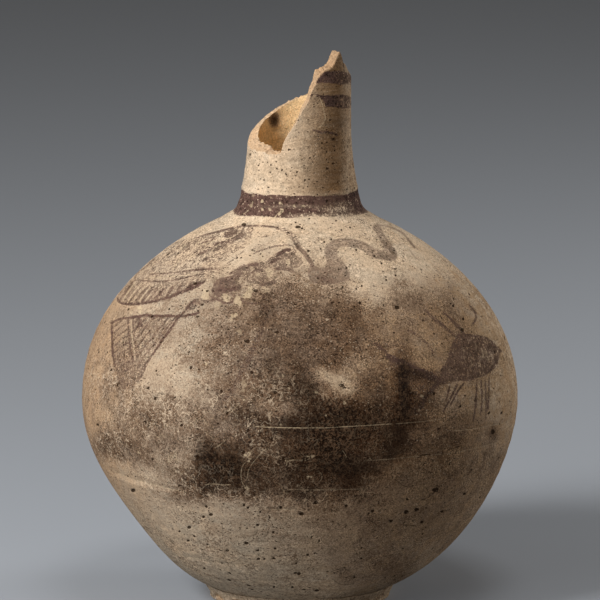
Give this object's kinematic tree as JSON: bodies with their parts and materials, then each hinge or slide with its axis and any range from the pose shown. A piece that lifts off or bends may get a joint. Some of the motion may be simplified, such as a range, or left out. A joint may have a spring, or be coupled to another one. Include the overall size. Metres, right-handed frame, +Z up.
{
  "type": "painted clay jug",
  "caption": "Broken wheel-thrown clay jug: globular body on a low foot ring, narrow neck snapped off slantwise, root of the lost handle, bird and bud painted in dark slip.",
  "frame": {"origin": "centre of the foot ring's resting plane, on the axis of the neck", "axes": "+Z up along the neck's axis; -Y towards the painted front that the picture shows; +X to the viewer's right"},
  "size_m": [0.1964, 0.1964, 0.251],
  "materials": {
    "buff_clay": "unglazed fired clay, matt, pitted, with burial stains",
    "painted_clay": "unglazed fired clay with worn dark brown slip painting",
    "dark_slip": "matt purple-brown slip band, flecked and worn"
  },
  "bodies": {
    "root": {"foot_ring": "buff_clay", "lower_body": "buff_clay", "upper_body": "painted_clay", "neck_collar": "dark_slip", "neck": "painted_clay", "handle_root": "buff_clay"}
  },
  "joints": []
}
